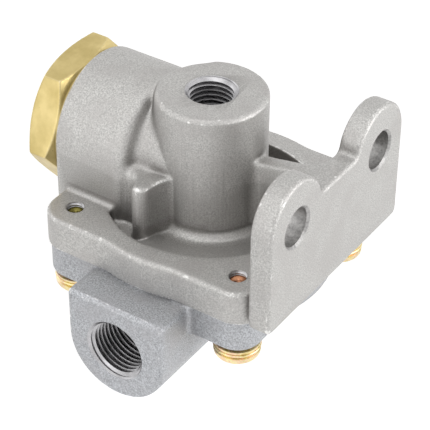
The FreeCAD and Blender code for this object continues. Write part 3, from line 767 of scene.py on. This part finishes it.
class Nodes:
    """Short hand for building a node material."""

    def __init__(self, name):
        self.material = bpy.data.materials.new(name)
        self.material.use_nodes = True
        self.tree = self.material.node_tree
        self.shader = self.tree.nodes["Principled BSDF"]
        self.place = self.add("ShaderNodeTexCoord").outputs["Object"]

    def add(self, kind, **settings):
        node = self.tree.nodes.new(kind)
        for key, value in settings.items():
            setattr(node, key, value)
        return node

    def link(self, source, target):
        self.tree.links.new(source, target)

    def feed(self, socket, value):
        """Links a socket, or sets a colour or a number on it."""
        if isinstance(value, bpy.types.NodeSocket):
            self.link(value, socket)
        elif isinstance(value, tuple):
            socket.default_value = (*value, 1)
        else:
            socket.default_value = value

    def noise(self, size, detail=3.0, roughness=0.55):
        """Noise whose grains are about size metres across."""
        node = self.add("ShaderNodeTexNoise")
        self.link(self.place, node.inputs["Vector"])
        node.inputs["Scale"].default_value = 1 / size
        node.inputs["Detail"].default_value = detail
        node.inputs["Roughness"].default_value = roughness
        return node.outputs["Fac"]

    def height(self):
        node = self.add("ShaderNodeSeparateXYZ")
        self.link(self.place, node.inputs[0])
        return node.outputs[2]

    def attribute(self, name):
        return self.add("ShaderNodeAttribute", attribute_name=name).outputs["Fac"]

    def ramp(self, value, stops):
        node = self.add("ShaderNodeValToRGB")
        ramp = node.color_ramp
        while len(ramp.elements) < len(stops):
            ramp.elements.new(0.5)
        for element, (at, colour) in zip(ramp.elements, stops):
            element.position = at
            element.color = (*colour, 1)
        self.link(value, node.inputs["Fac"])
        return node.outputs["Color"]

    def mix(self, share, a, b):
        node = self.add("ShaderNodeMix", data_type="RGBA")
        for socket, value in ((node.inputs["Factor"], share), (node.inputs[6], a), (node.inputs[7], b)):
            self.feed(socket, value)
        return node.outputs[2]

    def math(self, operation, a, b=0.0):
        node = self.add("ShaderNodeMath", operation=operation)
        for socket, value in zip(node.inputs, (a, b)):
            self.feed(socket, value)
        return node.outputs[0]

    def both(self, a, b):
        """Three parts of a and two of b."""
        return self.math("ADD", self.math("MULTIPLY", a, 0.6), self.math("MULTIPLY", b, 0.4))

    def span(self, value, low, high, to_low=0.0, to_high=1.0):
        node = self.add("ShaderNodeMapRange")
        self.link(value, node.inputs["Value"])
        ends = {"From Min": low, "From Max": high, "To Min": to_low, "To Max": to_high}
        for key, number in ends.items():
            node.inputs[key].default_value = number
        return node.outputs["Result"]

    def spread(self, noise, to_low=0.0, to_high=1.0):
        """Spreads most values of a noise over a range."""
        return self.span(noise, 0.3, 0.7, to_low, to_high)

    def bump(self, height, distance, strength, normal=None):
        node = self.add("ShaderNodeBump")
        self.link(height, node.inputs["Height"])
        node.inputs["Distance"].default_value = distance
        node.inputs["Strength"].default_value = strength
        if normal is not None:
            self.link(normal, node.inputs["Normal"])
        return node.outputs["Normal"]

    def done(self, colour, roughness, normal, metallic):
        self.shader.inputs["Metallic"].default_value = metallic
        for value, key in ((colour, "Base Color"), (roughness, "Roughness"), (normal, "Normal")):
            self.link(value, self.shader.inputs[key])
        return self.material


def casting_material(name, shades, joint_shadow_share):
    """Shot-blasted casting: fine grain, soft patches, thin bright edges of wear and painted highlight,
    painted shade in hollows, over ledges and along the joint.
    """
    n = Nodes(name)
    dark, light, patch, wear_and_highlight = shades
    grain = n.noise(GRAIN, 3.0, 0.6)
    fine = n.noise(FINE_GRAIN, 2.0, 0.5)
    cloud = n.noise(CLOUDS, 3.0, 0.5)
    chips = n.noise(CHIPS, 3.0, 0.6)
    base = n.mix(n.span(grain, *GRAIN_SPAN), dark, light)
    base = n.mix(n.span(cloud, *CLOUD_SPAN, 0.0, CLOUD_SHARE), base, patch)
    # Painted shade in the wider hollows
    base = n.mix(n.span(n.attribute("hollow"), *HOLLOW_SPAN, 0.0, HOLLOW_SHARE), base, HOLLOW_SHADE)
    # Painted shade and reflection on walls that have casting close under them
    base = n.mix(n.span(n.attribute("ledge"), *LEDGE_SPAN, 0.0, LEDGE_SHARE), base, LEDGE_SHADE)
    # Painted shadow along the joint, broken up by the chips
    joint_distance = n.math("ABSOLUTE", n.math("SUBTRACT", n.height(), JOINT_Z))
    seam = n.math("MULTIPLY", n.span(joint_distance, *JOINT_SHADOW_SPAN, joint_shadow_share, 0.0), n.span(chips, *JOINT_SHADOW_BREAK))
    base = n.mix(seam, base, JOINT_SHADOW)
    # Bright edges: partly wear, partly painted highlight
    ragged = n.math("ADD", n.attribute("edge"), n.spread(chips, *CHIP_SHIFT))
    bright = n.span(ragged, *WEAR_AND_HIGHLIGHT_SPAN)
    base = n.mix(n.math("MULTIPLY", bright, WEAR_AND_HIGHLIGHT_SHARE), base, wear_and_highlight)
    rough = n.spread(n.both(grain, fine), *CAST_ROUGHNESS)
    rough = n.math("SUBTRACT", rough, n.math("MULTIPLY", bright, WORN_GLOSS))
    normal = n.bump(fine, *FINE_BUMP, n.bump(grain, *GRAIN_BUMP))
    return n.done(base, rough, normal, CAST_METAL)


def cast_body_material():
    return casting_material("body_cast_aluminium", BODY_SHADES, BODY_JOINT_SHADOW)


def cast_cover_material():
    return casting_material("cover_cast_aluminium", COVER_SHADES, COVER_JOINT_SHADOW)


def cut_material(name, shades, smooth, dull, marks_size):
    """Cut metal with fine tool marks."""
    n = Nodes(name)
    marks = n.noise(marks_size, 3.0, 0.6)
    cloud = n.noise(2.0 * MM)
    base = n.mix(n.span(n.both(marks, cloud), *GRAIN_SPAN), *shades)
    return n.done(base, n.spread(marks, smooth, dull), n.bump(marks, 0.02 * MM, 0.5), 1.0)


def thread_material(name):
    return cut_material(name, THREAD_SHADES, 0.24, 0.38, 0.15 * MM)


def bore_material():
    return cut_material("bracket_bore", BORE_SHADES, 0.38, 0.50, 0.6 * MM)


def brass_material():
    """Satin turned brass with a few dark specks."""
    n = Nodes("turned_brass")
    cloud = n.noise(5.0 * MM)
    fine = n.noise(0.35 * MM)
    specks = n.noise(0.9 * MM, 1.0)
    base = n.mix(n.spread(cloud), *BRASS_SHADES)
    base = n.mix(n.span(specks, *SPECK_SPAN, 0.0, 0.5), base, BRASS_SPECK)
    bright = n.span(n.attribute("edge"), *BRASS_WORN_SPAN)
    base = n.mix(n.math("MULTIPLY", bright, 0.7), base, BRASS_WORN)
    return n.done(base, n.spread(fine, 0.30, 0.42), n.bump(fine, 0.02 * MM, 0.35), BRASS_METAL)


def zinc_material(name, end_colour):
    """Yellow passivated zinc with pink and green tints, and the tint of the screw's own end."""
    n = Nodes(name)
    cloud = n.noise(2.2 * MM, 2.0)
    fine = n.noise(0.3 * MM)
    end = n.span(n.height(), JOINT_Z, JOINT_Z + ZINC_END_H)
    base = n.mix(end, n.ramp(cloud, ZINC_TINTS), end_colour)
    return n.done(base, n.spread(fine, 0.18, 0.32), n.bump(fine, 0.015 * MM, 0.3), 1.0)


def plain_material(name, shades, grain, rough, metallic=0.0):
    """Even finish with a slight grain, for the inner pieces."""
    n = Nodes(name)
    fine = n.noise(grain)
    value = n.spread(fine, rough - 0.06, rough + 0.06)
    return n.done(n.mix(n.spread(fine), *shades), value, n.bump(fine, grain / 12, 0.4), metallic)


def dress(material, *nodes):
    for node in nodes:
        slots = frame["nodes"][node].data.materials
        slots.clear()
        slots.append(material)


def dress_inner_pieces(zinc):
    rubber = plain_material("nitrile_rubber", RUBBER_SHADES, 0.5 * MM, 0.55)
    nylon = plain_material("moulded_nylon", NYLON_SHADES, 0.8 * MM, 0.45)
    aluminium = plain_material("turned_aluminium", SEAT_SHADES, 0.3 * MM, 0.30, 1.0)
    wire = plain_material("spring_wire", WIRE_SHADES, 0.4 * MM, 0.28, 1.0)
    dress(rubber, "cap_nut_seal", "check_disc", "release_diaphragm", "cover_seal")
    dress(nylon, "check_guide")
    dress(aluminium, "spring_seat")
    dress(wire, "return_spring")
    dress(zinc, *WASHERS)


def camera():
    sin_a, cos_a = math.sin(CAMERA_TURN), math.cos(CAMERA_TURN)
    sin_e, cos_e = math.sin(CAMERA_TILT), math.cos(CAMERA_TILT)
    forward = Vector((-sin_a * cos_e, cos_a * cos_e, -sin_e))
    right = Vector((cos_a, sin_a, 0))
    up = right.cross(forward)
    rolled_right = right * math.cos(CAMERA_ROLL) + up * math.sin(CAMERA_ROLL)
    rolled_up = up * math.cos(CAMERA_ROLL) - right * math.sin(CAMERA_ROLL)
    data = bpy.data.cameras.new("camera")
    data.sensor_width = SENSOR
    data.lens = CAMERA_LENS
    data.clip_start = CAMERA_NEAR
    eye = linked("camera", data)
    place = CAMERA_TARGET - forward * CAMERA_DISTANCE
    turn = Matrix((rolled_right, rolled_up, -forward)).transposed()
    eye.matrix_world = Matrix.Translation(place) @ turn.to_4x4()
    bpy.context.scene.camera = eye


def softbox(name, azimuth, elevation, power):
    """Square lamp that faces the object's middle from a compass direction."""
    data = bpy.data.lights.new(name, "AREA")
    data.shape = "SQUARE"
    data.size = LAMP_SIZE
    data.energy = power
    lamp = linked(name, data)
    a, e = math.radians(azimuth), math.radians(elevation)
    way = Vector((math.cos(a) * math.cos(e), math.sin(a) * math.cos(e), math.sin(e)))
    lamp.location = Vector((0, 0, BOSS_TOP / 2)) + way * LAMP_DISTANCE
    lamp.rotation_euler = way.to_track_quat("Z", "Y").to_euler()


def seen_directly(tree):
    """1 for camera, glossy and transmission rays."""
    path = tree.nodes.new("ShaderNodeLightPath")
    total = path.outputs["Is Camera Ray"]
    for key in ("Is Glossy Ray", "Is Transmission Ray"):
        node = tree.nodes.new("ShaderNodeMath")
        node.operation = "MAXIMUM"
        tree.links.new(total, node.inputs[0])
        tree.links.new(path.outputs[key], node.inputs[1])
        total = node.outputs[0]
    return total


def chosen_by_ray(tree, indirect, direct):
    """One shader for what is seen directly, the other for the light that falls on the object."""
    choose = tree.nodes.new("ShaderNodeMixShader")
    tree.links.new(seen_directly(tree), choose.inputs["Fac"])
    tree.links.new(indirect.outputs[0], choose.inputs[1])
    tree.links.new(direct.outputs[0], choose.inputs[2])
    return choose.outputs[0]


def world():
    """White to the eye and in reflections, with a soft even light of a low level."""
    studio_world = bpy.data.worlds.new("studio")
    studio_world.use_nodes = True
    tree = studio_world.node_tree
    tree.nodes.clear()
    fill = tree.nodes.new("ShaderNodeBackground")
    fill.inputs["Strength"].default_value = WORLD_LEVEL
    fill.inputs["Color"].default_value = (1, 1, 1, 1)
    white = tree.nodes.new("ShaderNodeBackground")
    white.inputs["Color"].default_value = (1, 1, 1, 1)
    output = tree.nodes.new("ShaderNodeOutputWorld")
    tree.links.new(chosen_by_ray(tree, fill, white), output.inputs["Surface"])
    bpy.context.scene.world = studio_world


def floor():
    """White ground that keeps the object's shadow."""
    corners = [(sx * FLOOR_HALF, sy * FLOOR_HALF, -FLOOR_DROP) for sx, sy in SQUARE]
    plane = mesh_object("floor", corners, [(0, 1, 2, 3)])
    material = bpy.data.materials.new("white_floor")
    material.use_nodes = True
    tree = material.node_tree
    tree.nodes.clear()
    plain = tree.nodes.new("ShaderNodeBsdfDiffuse")
    plain.inputs["Color"].default_value = (FLOOR_GREY, FLOOR_GREY, FLOOR_GREY, 1)
    glow = tree.nodes.new("ShaderNodeEmission")
    glow.inputs["Strength"].default_value = FLOOR_GLOW
    both = tree.nodes.new("ShaderNodeAddShader")
    tree.links.new(plain.outputs[0], both.inputs[0])
    tree.links.new(glow.outputs[0], both.inputs[1])
    output = tree.nodes.new("ShaderNodeOutputMaterial")
    tree.links.new(chosen_by_ray(tree, plain, both), output.inputs["Surface"])
    plane.data.materials.append(material)


def studio():
    world()
    for lamp in LAMPS:
        softbox(*lamp)
    floor()
    bpy.context.scene.view_settings.view_transform = "Standard"


camera()
studio()
body_casting()
cover_casting()
brass_nut()
olive_zinc = zinc_material("yellow_zinc_olive", OLIVE_END)
copper_zinc = zinc_material("yellow_zinc_copper", COPPER_END)
for number, (node, place) in enumerate(zip(SCREWS, screw_axes()), 1):
    screw(number, node, place, olive_zinc if place.x < 0 else copper_zinc)
dress_inner_pieces(olive_zinc)
